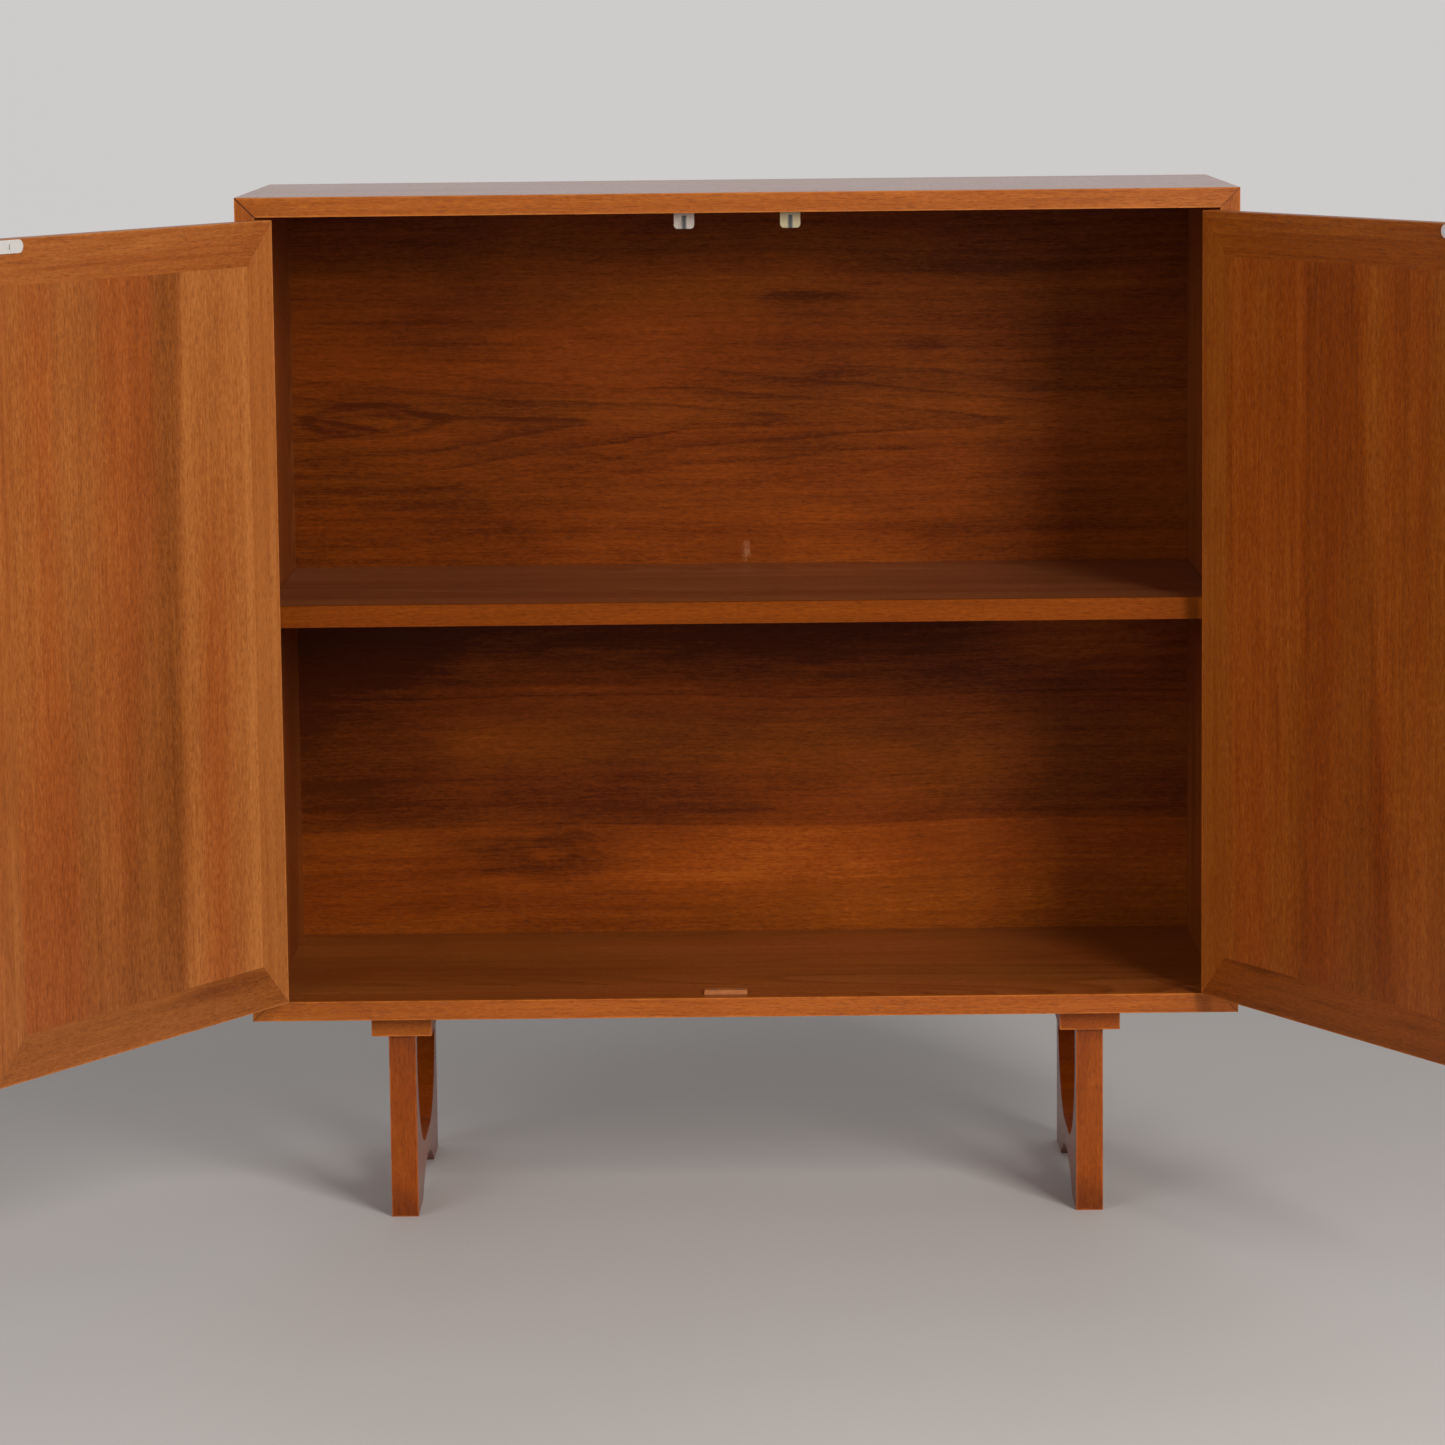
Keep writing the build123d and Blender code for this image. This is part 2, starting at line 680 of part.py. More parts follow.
def strike(name):
    """A round-ended steel plate on the door's inner face, with a groove down its middle."""
    middle = -SIDES[name] * STRIKE_FROM_PIN
    outer = door_face(name, DOOR_INNER + STRIKE_PLATE)
    with BuildPart() as plate:
        with BuildSketch(outer):
            with Locations((middle, STRIKE_Z)):
                SlotOverall(STRIKE_LENGTH, STRIKE_HEIGHT)
        extrude(amount=STRIKE_PLATE)
        with BuildSketch(outer):
            with Locations((middle, STRIKE_Z)):
                Rectangle(STRIKE_GROOVE_WIDTH, STRIKE_HEIGHT)
        extrude(amount=STRIKE_GROOVE_DEPTH, mode=Mode.SUBTRACT)
        add(screw_hole(strike_screw_plane(name), *STRIKE_SCREW), mode=Mode.SUBTRACT)
    return plate


def door_outlines():
    """Outline of each flat piece of a door, as (distance from the pin, height) corners."""
    outer = [
        (DOOR_START, DOOR_BOTTOM),
        (DOOR_END, DOOR_BOTTOM),
        (DOOR_END, DOOR_TOP),
        (DOOR_START, DOOR_TOP),
    ]
    inner = [
        (DOOR_START + DOOR_FRAME, DOOR_BOTTOM + DOOR_FRAME),
        (DOOR_END - DOOR_FRAME, DOOR_BOTTOM + DOOR_FRAME),
        (DOOR_END - DOOR_FRAME, DOOR_TOP - DOOR_FRAME),
        (DOOR_START + DOOR_FRAME, DOOR_TOP - DOOR_FRAME),
    ]
    outlines = {"panel": inner}
    for start, piece in enumerate(("bottom_rail", "meeting_stile", "top_rail", "hinge_stile")):
        end = (start + 1) % len(outer)
        outlines[piece] = [outer[start], outer[end], inner[end], inner[start]]
    return outlines


for name in SIDES:
    cuts = {
        "hinge_stile": [door_leaf_recess(name)] + holes(hinge_door_screw_planes(name), HINGE_SCREW),
        "meeting_stile": [knob_tenon(name)],
        "top_rail": [screw_hole(strike_screw_plane(name), *STRIKE_SCREW)],
    }
    for piece, corners in door_outlines().items():
        write(door_member(name, corners, cuts.get(piece, [])), f"{name}_door_{piece}")
    write(knob(name), f"{name}_door_knob")
    write(strike(name), f"{name}_strike")
    write(screws([strike_screw_plane(name)], STRIKE_SCREW), f"{name}_strike_screw")


# ---------------------------------------------------------------- hinges
def knuckle_spans(middle):
    """Heights of the outer knuckles and of the middle one, as (bottom, length) pairs."""
    outer_length = (HINGE_LENGTH - MIDDLE_KNUCKLE) / 2 - KNUCKLE_GAP
    outer = (
        (middle - HINGE_LENGTH / 2, outer_length),
        (middle + HINGE_LENGTH / 2 - outer_length, outer_length),
    )
    return outer, ((middle - MIDDLE_KNUCKLE / 2, MIDDLE_KNUCKLE),)


def hinge_leaf(plane, towards, spans, middle, leaf_screw_holes):
    """A leaf and its knuckles. The pin stands on the plane's origin and the leaf runs along +Y.

    towards is the side of the pin, along X, on which the leaf lies.
    """
    leaf_x = towards * (DOOR_GAP / 2 + LEAF_THICKNESS / 2)
    with BuildPart() as leaf:
        with BuildSketch(plane.offset(middle - HINGE_LENGTH / 2)):
            with Locations((leaf_x, PIN_OFFSET + LEAF_WIDTH / 2)):
                Rectangle(LEAF_THICKNESS, LEAF_WIDTH)
        extrude(amount=HINGE_LENGTH)
        for bottom, length in spans:
            with BuildSketch(plane.offset(bottom)):
                Circle(KNUCKLE_RADIUS)
                with Locations((leaf_x, (PIN_OFFSET + LEAF_THICKNESS) / 2)):
                    Rectangle(LEAF_THICKNESS, PIN_OFFSET + LEAF_THICKNESS)
                Circle(PIN_RADIUS + RUNNING_CLEARANCE, mode=Mode.SUBTRACT)
            extrude(amount=length)
        for hole in leaf_screw_holes:
            add(hole, mode=Mode.SUBTRACT)
    return leaf.part


def group(pieces):
    """Separate solids that make one node."""
    with BuildPart() as made:
        for piece in pieces:
            add(piece)
    return made


for name, side in SIDES.items():
    fixed_plane = Plane(origin=(side * PIVOT_X, PIVOT_Y, 0))
    moving_plane = door_plane(name)
    side_holes = holes(hinge_side_screw_planes(name), HINGE_SCREW)
    door_holes = holes(hinge_door_screw_planes(name), HINGE_SCREW)
    side_leaves = []
    door_leaves = []
    pins = []
    for middle in HINGE_HEIGHTS:
        outer_spans, middle_span = knuckle_spans(middle)
        side_leaves.append(hinge_leaf(fixed_plane, side, outer_spans, middle, side_holes))
        door_leaves.append(hinge_leaf(moving_plane, -side, middle_span, middle, door_holes))
        with BuildPart() as pin:
            with BuildSketch(fixed_plane.offset(middle - HINGE_LENGTH / 2)):
                Circle(PIN_RADIUS)
            extrude(amount=HINGE_LENGTH)
        pins.append(pin.part)
    write(group(side_leaves), f"{name}_hinge_side_leaves")
    write(group(door_leaves), f"{name}_hinge_door_leaves")
    write(group(pins), f"{name}_hinge_pins")
    write(screws(hinge_side_screw_planes(name), HINGE_SCREW), f"{name}_hinge_side_screws")
    write(screws(hinge_door_screw_planes(name), HINGE_SCREW), f"{name}_hinge_door_screws")


# ---------------------------------------------------------------- magnetic catches
def catch_block(side, width, height, depth, setback, shift=0.0):
    """An upright block in a catch, hung from the level of the slot's or body's top."""
    with BuildPart() as block:
        with BuildSketch(front_plane(CATCH_FRONT_Y + setback)):
            with Locations((side * CATCH_X + shift, CEILING_Z - CATCH_HEIGHT + height / 2)):
                Rectangle(width, height)
        extrude(amount=-depth)
    return block


def catch_body(side):
    """A moulded housing with a slot for the magnet and a thin flange for its screws."""
    slot = catch_block(side, MAGNET_WIDTH + 2 * POLE_THICKNESS, SLOT_HEIGHT, SLOT_DEPTH, 0)
    flange_y = CATCH_FRONT_Y + CATCH_BLOCK + CATCH_FLANGE / 2
    block = catch_block(side, CATCH_WIDTH, CATCH_HEIGHT, CATCH_BLOCK, 0)
    with BuildPart() as body:
        add(block.part)
        lower_edges = body.edges().filter_by(Axis.Y).group_by(Axis.Z)[0]
        fillet(lower_edges, radius=CATCH_CORNER)
        with BuildSketch(Plane.XY.offset(CEILING_Z - CATCH_FLANGE_HEIGHT)):
            with Locations((side * CATCH_X, flange_y)):
                Rectangle(CATCH_WIDTH, CATCH_FLANGE)
        extrude(amount=CATCH_FLANGE_HEIGHT)
        add(slot.part, mode=Mode.SUBTRACT)
        for hole in holes(catch_screw_planes(side), CATCH_SCREW):
            add(hole, mode=Mode.SUBTRACT)
    return body


for name, side in SIDES.items():
    pole_shift = (MAGNET_WIDTH + POLE_THICKNESS) / 2
    magnet_depth = SLOT_DEPTH - MAGNET_SETBACK
    poles = [
        catch_block(side, POLE_THICKNESS, SLOT_HEIGHT, SLOT_DEPTH, 0, step * pole_shift).part
        for step in (-1, 1)
    ]
    write(catch_body(side), f"{name}_catch_body")
    write(group(poles), f"{name}_catch_poles")
    magnet = catch_block(side, MAGNET_WIDTH, SLOT_HEIGHT, magnet_depth, MAGNET_SETBACK)
    write(magnet, f"{name}_catch_magnet")

write(screws(catch_screw_planes(LEFT) + catch_screw_planes(RIGHT), CATCH_SCREW), "catch_screws")
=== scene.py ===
import json
import math

import bpy
from mathutils import Matrix, Vector


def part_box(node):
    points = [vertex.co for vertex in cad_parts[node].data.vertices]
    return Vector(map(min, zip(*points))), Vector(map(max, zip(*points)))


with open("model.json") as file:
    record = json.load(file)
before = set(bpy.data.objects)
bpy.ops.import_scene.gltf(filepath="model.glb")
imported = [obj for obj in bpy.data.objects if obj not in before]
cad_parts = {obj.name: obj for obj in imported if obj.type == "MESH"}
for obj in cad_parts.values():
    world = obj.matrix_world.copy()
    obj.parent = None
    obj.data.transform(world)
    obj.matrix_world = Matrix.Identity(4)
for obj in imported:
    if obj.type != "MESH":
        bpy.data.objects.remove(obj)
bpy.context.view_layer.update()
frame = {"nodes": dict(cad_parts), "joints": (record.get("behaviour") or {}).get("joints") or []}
nodes = frame["nodes"]

# ------------------------------------------------------------------ places taken from the frame
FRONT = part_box("top_lipping")[0].y                  # front face of the carcass
CARCASS_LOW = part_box("bottom_panel")[0]
CARCASS_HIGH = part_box("top_panel")[1]
JOINTS = {joint["name"]: joint for joint in frame["joints"]}
DOORS = {}
for side_name in ("left", "right"):
    joint = JOINTS[side_name + "_door_hinge"]
    DOORS[side_name] = (Vector(joint["pos_m"]), math.radians(joint["range_deg"][1]) * joint["axis"][2])


# ------------------------------------------------------------------ node helpers
class Graph:
    """Short calls for building one material's nodes."""

    def __init__(self, name):
        self.material = bpy.data.materials.new(name)
        self.material.use_nodes = True
        self.tree = self.material.node_tree
        self.tree.nodes.clear()

    def add(self, kind, **settings):
        node = self.tree.nodes.new(kind)
        for key, value in settings.items():
            setattr(node, key, value)
        return node

    def put(self, socket, value):
        """Link a socket, or set a plain value."""
        if isinstance(value, bpy.types.NodeSocket):
            self.tree.links.new(value, socket)
        else:
            socket.default_value = value

    def math(self, operation, first, second=0.0, third=0.0, clamp=False):
        node = self.add("ShaderNodeMath", operation=operation, use_clamp=clamp)
        self.put(node.inputs[0], first)
        self.put(node.inputs[1], second)
        self.put(node.inputs[2], third)
        return node.outputs[0]

    def centred(self, value):
        """A 0-1 value moved to run from -0.5 to 0.5."""
        return self.math("SUBTRACT", value, 0.5)

    def split(self, vector):
        node = self.add("ShaderNodeSeparateXYZ")
        self.put(node.inputs[0], vector)
        return node.outputs

    def scaled(self, vector, scale, shift=(0.0, 0.0, 0.0)):
        node = self.add("ShaderNodeMapping", vector_type="POINT")
        self.put(node.inputs["Vector"], vector)
        node.inputs["Location"].default_value = shift
        node.inputs["Scale"].default_value = scale
        return node.outputs[0]

    def noise(self, vector, scale, shift=(0.0, 0.0, 0.0), detail=2.0, rough=0.5):
        node = self.add("ShaderNodeTexNoise")
        self.put(node.inputs["Vector"], self.scaled(vector, scale, shift))
        node.inputs["Scale"].default_value = 1.0
        node.inputs["Detail"].default_value = detail
        node.inputs["Roughness"].default_value = rough
        return node.outputs["Fac"]

    def span(self, value, low, high, to_low=0.0, to_high=1.0, smooth=False):
        node = self.add("ShaderNodeMapRange", interpolation_type="SMOOTHSTEP" if smooth else "LINEAR")
        self.put(node.inputs["Value"], value)
        node.inputs["From Min"].default_value = low
        node.inputs["From Max"].default_value = high
        node.inputs["To Min"].default_value = to_low
        node.inputs["To Max"].default_value = to_high
        return node.outputs[0]

    def ramp(self, value, stops):
        node = self.add("ShaderNodeValToRGB")
        self.put(node.inputs[0], value)
        elements = node.color_ramp.elements
        while len(elements) < len(stops):
            elements.new(1.0)
        for element, (place, colour) in zip(elements, stops):
            element.position = place
            element.color = (*colour, 1.0)
        return node.outputs[0]

    def mix(self, factor, first, second, blend="MIX"):
        node = self.add("ShaderNodeMix", data_type="RGBA", blend_type=blend)
        self.put(node.inputs["Factor"], factor)
        self.put(node.inputs["A"], first if isinstance(first, bpy.types.NodeSocket) else (*first, 1.0))
        self.put(node.inputs["B"], second if isinstance(second, bpy.types.NodeSocket) else (*second, 1.0))
        return node.outputs["Result"]

    def surface(self, colour, roughness, height=None, bump=0.0003, **constants):
        """The principled shader; constants are numbers set straight on its sockets."""
        shader = self.add("ShaderNodeBsdfPrincipled")
        self.put(shader.inputs["Base Color"], colour)
        self.put(shader.inputs["Roughness"], roughness)
        for name, value in constants.items():
            shader.inputs[name.replace("_", " ")].default_value = value
        if height is not None:
            node = self.add("ShaderNodeBump")
            node.inputs["Strength"].default_value = 1.0
            node.inputs["Distance"].default_value = bump
            self.put(node.inputs["Height"], height)
            self.put(shader.inputs["Normal"], node.outputs[0])
        output = self.add("ShaderNodeOutputMaterial")
        self.tree.links.new(shader.outputs[0], output.inputs[0])
        return shader


def srgb(red, green, blue):
    """Linear colour from 0-255 display values."""
    linear = []
    for value in (red, green, blue):
        part = value / 255
        linear.append(((part + 0.055) / 1.055) ** 2.4 if part > 0.04045 else part / 12.92)
    return tuple(linear)


# ------------------------------------------------------------------ wood
REDDER = (1.0, 0.80, 0.72)          # tint of the redder bands in the heartwood
MARK_DEPTH = 0.0025                 # how far a mark (figure, painted shade, painted light) reaches into the board
SCUFF_HALF_SIZE = (0.0040, 0.0025, 0.0085)
SCUFF_COLOUR = srgb(188, 138, 98)
SCUFF_STRENGTH = 0.34
WORN_FROM, WORN_TO = 0.0016, 0.0001  # distances from an edge where its rubbing starts and is full
WORN_RAGGED = 0.0035                # how far noise moves the start of the rubbing
WORN_STRENGTH = 0.30
PORE_STRENGTH = 0.30
FOOT_DARKENING = -0.30                # change of tone at the very foot of a leg, darker towards the floor


def board_vector(graph, grain, door=None):
    """Object coordinates turned so that X runs along the grain, Y across it and Z through the board."""
    place = graph.add("ShaderNodeTexCoord").outputs["Object"]
    if door is not None:
        pivot, closing = DOORS[door]
        turn = graph.add("ShaderNodeVectorRotate", rotation_type="Z_AXIS")
        graph.put(turn.inputs["Vector"], place)
        turn.inputs["Center"].default_value = pivot
        turn.inputs["Angle"].default_value = closing
        place = turn.outputs[0]
    split = graph.split(place)
    order = {"X": (0, 2, 1), "XY": (0, 1, 2), "Z": (2, 0, 1), "ZY": (2, 1, 0), "Y": (1, 2, 0)}[grain]
    join = graph.add("ShaderNodeCombineXYZ")
    for slot, index in enumerate(order):
        graph.put(join.inputs[slot], split[index])
    return place, join.outputs[0]


def wandering(graph, board, shift, amount):
    """Board coordinates whose across direction drifts slowly, which every finer layer follows."""
    drift = graph.noise(board, (1.6, 2.2, 2.0), shift)
    push = graph.add("ShaderNodeCombineXYZ")
    graph.put(push.inputs[1], graph.math("MULTIPLY", graph.centred(drift), amount))
    moved = graph.add("ShaderNodeVectorMath", operation="ADD")
    graph.put(moved.inputs[0], board)
    graph.put(moved.inputs[1], push.outputs[0])
    return moved.outputs[0]


def straight_rings(graph, along, shift, count):
    """Growth-ring number of quarter-sawn wood: contours of a long smooth field."""
    field = graph.noise(along, (0.7, 5.5, 1.2), shift, detail=1.0, rough=0.4)
    return graph.math("MULTIPLY", field, count)


def arched_rings(graph, board, shift, line, wavelength, steepness, roundness, phase, end):
    """Growth-ring number of flat-sawn wood: nested pointed arches along a line across the grain.

    wavelength is the distance between tips, steepness how far a flank runs back for each metre
    it moves off the line, roundness the half width of a tip, and end where the arches fade out.
    """
    split = graph.split(board)
    bend = graph.noise(board, (3.0, 4.0, 1.0), shift)
    off = graph.math("MULTIPLY_ADD", graph.centred(bend), 0.035, graph.math("SUBTRACT", split[1], line))
    ratio = graph.math("DIVIDE", off, roundness)
    flank = graph.math("SQRT", graph.math("MULTIPLY_ADD", ratio, ratio, 1.0))
    path = graph.math("MULTIPLY_ADD", flank, steepness * roundness, split[0])
    drift = graph.noise(board, (4.5, 16.0, 1.0), shift)
    path = graph.math("MULTIPLY_ADD", graph.centred(drift), 0.16, path)
    rings = graph.math("ADD", graph.math("DIVIDE", path, wavelength), phase)
    near = graph.span(graph.math("ABSOLUTE", off), 0.015, 0.09, 1.0, 0.12, smooth=True)
    fading = graph.span(split[0], end, end + 0.10, 1.0, 0.3, smooth=True)
    return rings, graph.math("MULTIPLY", near, fading)


def late_wood(graph, rings, along, shift, sharpness=3.0):
    """Dark late wood: in every ring a slow rise, then a quick end, broken up along the grain."""
    ragged = graph.noise(along, (14.0, 240.0, 60.0), shift, detail=3.0)
    ring = graph.math("FRACT", graph.math("MULTIPLY_ADD", graph.centred(ragged), 0.30, rings))
    rise = graph.math("POWER", ring, sharpness)
    late = graph.math("MULTIPLY", rise, graph.span(ring, 0.90, 1.0, 1.0, 0.0, smooth=True))
    patchy = graph.span(graph.noise(along, (1.5, 9.0, 2.0), shift), 0.38, 0.66, 0.2, 1.0)
    return graph.math("MULTIPLY", late, patchy)


def oval_distance(graph, board, shift, centre, half, face, ragged):
    """0 at an oval's centre and 1 on its rim, with the rim broken up along the grain.

    face is the depth in the board of the face that shows the oval.
    """
    offset = graph.add("ShaderNodeVectorMath", operation="SUBTRACT")
    graph.put(offset.inputs[0], board)
    offset.inputs[1].default_value = (*centre, face)
    squeezed = graph.scaled(offset.outputs[0], (1 / half[0], 1 / half[1], 1 / MARK_DEPTH))
    length = graph.add("ShaderNodeVectorMath", operation="LENGTH")
    graph.put(length.inputs[0], squeezed)
    torn = graph.noise(board, (18.0, 150.0, 30.0), shift, detail=3.0)
    return graph.math("MULTIPLY_ADD", graph.centred(torn), ragged, length.outputs["Value"])


def add_marks(graph, board, shift, tone, marks, face):
    """Dark or light marks, soft filled ovals, as (centre, half size, change of tone): figure, and on the
    back panel also painted shade and painted light.
    """
    for centre, half, change in marks:
        away = oval_distance(graph, board, shift, centre, half, face, 1.3)
        tone = graph.math("MULTIPLY_ADD", graph.span(away, 1.25, 0.35, smooth=True), change, tone)
    return tone


def add_eyes(graph, board, shift, tone, eyes, face):
    """Closed growth rings, as (centre, half size, change of tone on the rim)."""
    for centre, half, change in eyes:
        away = oval_distance(graph, board, shift, centre, half, face, 0.5)
        for rim, share in ((1.0, 1.0), (0.55, 0.6)):
            off = graph.math("ABSOLUTE", graph.math("SUBTRACT", away, rim))
            tone = graph.math("MULTIPLY_ADD", graph.span(off, 0.26, 0.04, smooth=True), change * share, tone)
    return tone


def add_tone_steps(graph, along, tone, tone_steps, origin, direction, level):
    """Changes of tone along lines across the grain: veneer joints, and on the back panel also the edges of
    painted shade under the shelf.

    Each step is (place, lean, change, half width): it lies at place from origin in
    direction across the grain, and moves by lean for every metre along the grain from level.
    """
    split = graph.split(along)
    across = graph.math("MULTIPLY", graph.math("SUBTRACT", split[1], origin), direction)
    beyond = graph.math("SUBTRACT", split[0], level)
    for place, lean, change, half_width in tone_steps:
        measured = graph.math("MULTIPLY_ADD", beyond, -lean, across)
        step = graph.span(measured, place - half_width, place + half_width, smooth=True)
        tone = graph.math("MULTIPLY_ADD", step, change, tone)
    return tone


def add_scuff(graph, place, colour, point):
    """A small pale upright rub mark on a face that looks forward."""
    offset = graph.add("ShaderNodeVectorMath", operation="SUBTRACT")
    graph.put(offset.inputs[0], place)
    offset.inputs[1].default_value = point
    squeezed = graph.scaled(offset.outputs[0], tuple(1 / half for half in SCUFF_HALF_SIZE))
    length = graph.add("ShaderNodeVectorMath", operation="LENGTH")
    graph.put(length.inputs[0], squeezed)
    torn = graph.noise(place, (320.0, 320.0, 160.0), detail=2.0)
    away = graph.math("MULTIPLY_ADD", graph.centred(torn), 2.4, length.outputs["Value"])
    spot = graph.span(away, 1.2, 0.2, smooth=True)
    return graph.mix(graph.math("MULTIPLY", spot, SCUFF_STRENGTH), colour, SCUFF_COLOUR)


def edge_distance(graph, place, low, high):
    """Distance from the nearest long edge of a box, for points on its surface."""
    middle = (low + high) / 2
    half = (high - low) / 2
    split = graph.split(place)
    inside = []
    for axis in range(3):
        offset = graph.math("SUBTRACT", split[axis], middle[axis])
        inside.append(graph.math("SUBTRACT", half[axis], graph.math("ABSOLUTE", offset)))
    lower = graph.math("MINIMUM", inside[0], inside[1])
    upper = graph.math("MAXIMUM", inside[0], inside[1])
    return graph.math("MAXIMUM", lower, graph.math("MINIMUM", upper, inside[2]))


def edge_wear(graph, place, shift, low, high):
    """Strength of the rubbed edges of a box."""
    near = edge_distance(graph, place, low, high)
    broken = graph.noise(place, (55.0, 55.0, 55.0), shift, detail=3.0)
    near = graph.math("MULTIPLY_ADD", graph.centred(broken), -WORN_RAGGED, near)
    return graph.span(near, WORN_FROM, WORN_TO, smooth=True)


def add_seams(graph, place, colour, seams, dark):
    """Thin dark joint lines, as (point, normal, half width, strength)."""
    for point, normal, half_width, strength in seams:
        offset = graph.add("ShaderNodeVectorMath", operation="SUBTRACT")
        graph.put(offset.inputs[0], place)
        offset.inputs[1].default_value = point
        away = graph.add("ShaderNodeVectorMath", operation="DOT_PRODUCT")
        graph.put(away.inputs[0], offset.outputs[0])
        away.inputs[1].default_value = normal
        off = graph.math("ABSOLUTE", away.outputs["Value"])
        line = graph.span(off, half_width, half_width * 0.2, smooth=True)
        colour = graph.mix(graph.math("MULTIPLY", line, strength), colour, tuple(v * 0.25 for v in dark))
    return colour


def teak(name, grain, tones, seed, door=None, box=None, figure=1.0, ring_count=30.0, arches=None,
         stripes=1.0, streaks=0.45, speckles=0.45, smudges=0.35, lift=0.0, gloss=0.38, coat=0.0,
         specular=0.35, tone_steps=(), tone_steps_from=(0.0, 1.0, 0.0), marks=(), eyes=(), face=0.0, scuff=None,
         seams=(), redden=0.5, darker_below=0.0):
    """Lacquered teak: growth rings, ribbon stripes, fibre, pores, clouding and worn edges.

    tones are the dark, middle and light colours, and lift moves the whole board between them.
    redden is the strength of the redder bands that run along the grain, and the last argument the height
    above the floor up to which the wood is darker towards the floor.
    """
    graph = Graph(name)
    place, board = board_vector(graph, grain, door)
    shift = (seed * 3.17, seed * 1.73, seed * 0.61)
    along = wandering(graph, board, shift, 0.03 * figure)

    if arches is None:
        late = late_wood(graph, straight_rings(graph, along, shift, ring_count), along, shift)
    else:
        rings, near = arched_rings(graph, board, shift, *arches)
        late = graph.math("MULTIPLY", late_wood(graph, rings, along, shift, 4.0), near)

    ribbon = graph.noise(along, (0.3, 14.0, 2.0), shift)
    streak = graph.noise(along, (2.4, 130.0, 12.0), shift, detail=4.0, rough=0.65)
    fibre = graph.noise(along, (22.0, 900.0, 420.0), shift, detail=3.0, rough=0.7)
    speckle = graph.noise(along, (160.0, 480.0, 480.0), shift, detail=2.0, rough=0.7)
    cloud = graph.noise(along, (3.0, 7.0, 3.0), shift, detail=4.0, rough=0.6)
    pores = graph.span(graph.noise(along, (90.0, 1300.0, 900.0), shift, detail=1.0), 0.60, 0.70, smooth=True)

    tone = graph.math("MULTIPLY_ADD", late, -0.34 * figure, 0.5 + lift)
    layers = ((ribbon, 0.55 * stripes), (streak, streaks), (fibre, 0.40), (speckle, speckles),
              (cloud, smudges))
    for layer, weight in layers:
        tone = graph.math("MULTIPLY_ADD", graph.centred(layer), weight, tone)
    tone = add_tone_steps(graph, along, tone, tone_steps, *tone_steps_from)
    # darker towards the floor
    if darker_below:
        ground = graph.math("MULTIPLY_ADD", graph.centred(cloud), darker_below, graph.split(place)[2])
        tone = graph.math("ADD", tone, graph.span(ground, 0.0, darker_below, FOOT_DARKENING, 0.0, smooth=True))
    tone = add_marks(graph, board, shift, tone, marks, face)
    tone = add_eyes(graph, board, shift, tone, eyes, face)
    dark, middle, light = tones
    colour = graph.ramp(tone, [(0.05, dark), (0.5, middle), (0.95, light)])
    blush = graph.noise(along, (0.9, 11.0, 2.0), (shift[1], shift[0], 3.0))
    blush = graph.span(blush, 0.42, 0.62, smooth=True)
    colour = graph.mix(graph.math("MULTIPLY", blush, redden), colour, REDDER, blend="MULTIPLY")
    colour = graph.mix(graph.math("MULTIPLY", pores, PORE_STRENGTH), colour, tuple(v * 0.45 for v in dark))

    rough = graph.math("MULTIPLY_ADD", graph.centred(fibre), 0.16, gloss)
    rough = graph.math("MULTIPLY_ADD", graph.centred(cloud), 0.14, rough)
    if scuff is not None:
        colour = add_scuff(graph, place, colour, scuff)
    if box is not None:
        worn = edge_wear(graph, place, shift, *box)
        rubbed = tuple(min(1.0, v * 1.4) for v in light)
        colour = graph.mix(graph.math("MULTIPLY", worn, WORN_STRENGTH), colour, rubbed)
        rough = graph.math("MULTIPLY_ADD", worn, 0.12, rough)
    colour = add_seams(graph, place, colour, seams, dark)

    height = graph.math("MULTIPLY_ADD", pores, -0.7, graph.math("MULTIPLY", fibre, 0.4))
    height = graph.math("MULTIPLY_ADD", late, -0.25, height)
    graph.surface(colour, rough, height, bump=0.0002, Coat_Weight=coat, Coat_Roughness=0.2,
                  Specular_IOR_Level=specular)
    return graph.material


# tones as seen under soft white light: dark, middle, light; the cleat tones are lightened as painted light
TONES = {
    "top": (srgb(98, 43, 10), srgb(158, 80, 28), srgb(204, 122, 56)),
    "carcass": (srgb(84, 35, 6), srgb(134, 67, 20), srgb(178, 104, 44)),
    "floor": (srgb(90, 41, 12), srgb(142, 76, 28), srgb(186, 116, 56)),
    "back": (srgb(82, 33, 2), srgb(138, 66, 10), srgb(190, 105, 30)),
    "shelf": (srgb(84, 42, 20), srgb(132, 76, 42), srgb(176, 114, 70)),
    "lipping": (srgb(112, 48, 6), srgb(154, 79, 15), srgb(190, 112, 38)),
    "shelf_front": (srgb(88, 37, 2), srgb(126, 58, 4), srgb(158, 84, 14)),
    "left_door": (srgb(106, 52, 16), srgb(158, 89, 38), srgb(198, 126, 64)),
    "right_door": (srgb(94, 41, 4), srgb(148, 74, 15), srgb(188, 109, 38)),
    "leg": (srgb(98, 38, 2), srgb(140, 63, 5), srgb(176, 92, 18)),
    # cleat tones lightened: painted light for the cleats, which sit in shade under the carcass
    "cleat": (srgb(126, 56, 10), srgb(178, 92, 25), srgb(210, 128, 50)),
    "beech": (srgb(132, 86, 50), srgb(186, 132, 84), srgb(214, 166, 116)),
    "stop": (srgb(120, 62, 26), srgb(176, 108, 58), srgb(206, 142, 88)),
}


def closed_box(node, door):
    """The box of a door node once its door is shut, for edge wear in the door's own directions."""
    pivot, closing = DOORS[door]
    turn = Matrix.Translation(pivot) @ Matrix.Rotation(closing, 4, "Z") @ Matrix.Translation(-pivot)
    points = [turn @ vertex.co for vertex in nodes[node].data.vertices]
    low = Vector([min(p[axis] for p in points) for axis in range(3)])
    high = Vector([max(p[axis] for p in points) for axis in range(3)])
    return low, high


